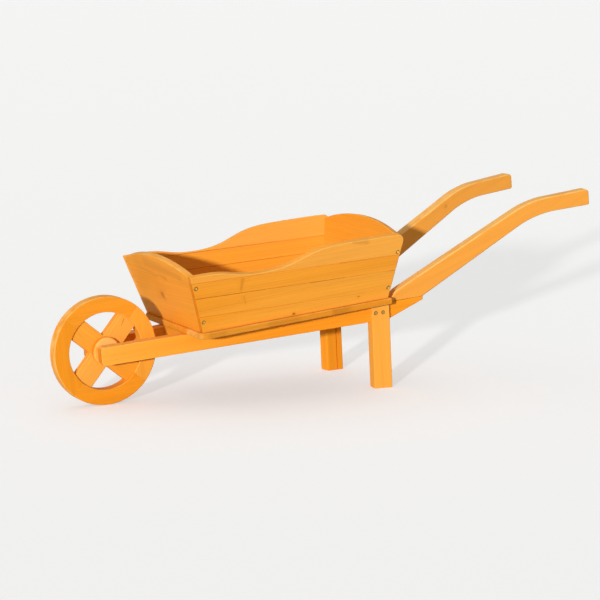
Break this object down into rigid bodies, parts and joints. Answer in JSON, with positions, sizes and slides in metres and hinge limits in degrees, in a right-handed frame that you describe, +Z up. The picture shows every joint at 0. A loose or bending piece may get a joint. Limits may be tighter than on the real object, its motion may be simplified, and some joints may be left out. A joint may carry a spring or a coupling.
{
  "type": "wheelbarrow planter",
  "caption": "Ornamental wooden wheelbarrow that holds plants, with a flared tray on converging rails, bent handles, legs and a spoked wheel that turns on its axle.",
  "frame": {"origin": "on the ground, at the middle of the footprint's length and width", "axes": "+X from the wheel to the handles, +Y to the right hand of someone at the handles, +Z up"},
  "size_m": [1.2416, 0.3634, 0.4206],
  "materials": {
    "frame_timber": "planed softwood, honey stain under satin varnish",
    "tray_boards": "edge-glued softwood boards with small knots, honey stain under satin varnish",
    "wheel_timber": "planed softwood, honey stain under satin varnish",
    "dowel_beech": "plain beech, unfinished",
    "screw_steel": "yellow-passivated steel, dulled outdoors",
    "axle_steel": "bright drawn steel rod"
  },
  "bodies": {
    "frame": {"rail_left": "frame_timber", "rail_right": "frame_timber", "handle_left": "frame_timber", "handle_right": "frame_timber", "leg_left": "frame_timber", "leg_right": "frame_timber", "floor_board_1": "tray_boards", "floor_board_2": "tray_boards", "floor_board_3": "tray_boards", "floor_board_4": "tray_boards", "front_panel": "tray_boards", "back_panel": "tray_boards", "side_left_board_1": "tray_boards", "side_left_board_2": "tray_boards", "side_left_board_3": "tray_boards", "side_left_board_4": "tray_boards", "side_right_board_1": "tray_boards", "side_right_board_2": "tray_boards", "side_right_board_3": "tray_boards", "side_right_board_4": "tray_boards", "corner_screws": "screw_steel", "leg_screws": "screw_steel", "floor_screws": "screw_steel", "rail_screws": "screw_steel", "axle": "axle_steel", "handle_dowels": "dowel_beech"},
    "wheel": {"rim_felloe_1": "wheel_timber", "rim_felloe_2": "wheel_timber", "rim_felloe_3": "wheel_timber", "rim_felloe_4": "wheel_timber", "spoke_bar_1": "wheel_timber", "spoke_bar_2": "wheel_timber", "hub_disc_left": "wheel_timber", "hub_disc_right": "wheel_timber"}
  },
  "joints": [
    {"name": "wheel_spin", "type": "hinge", "parent": "frame", "child": "wheel", "pos_m": [-0.50281, 0, 0.118], "axis": [0, 1, 0], "continuous": true}
  ]
}
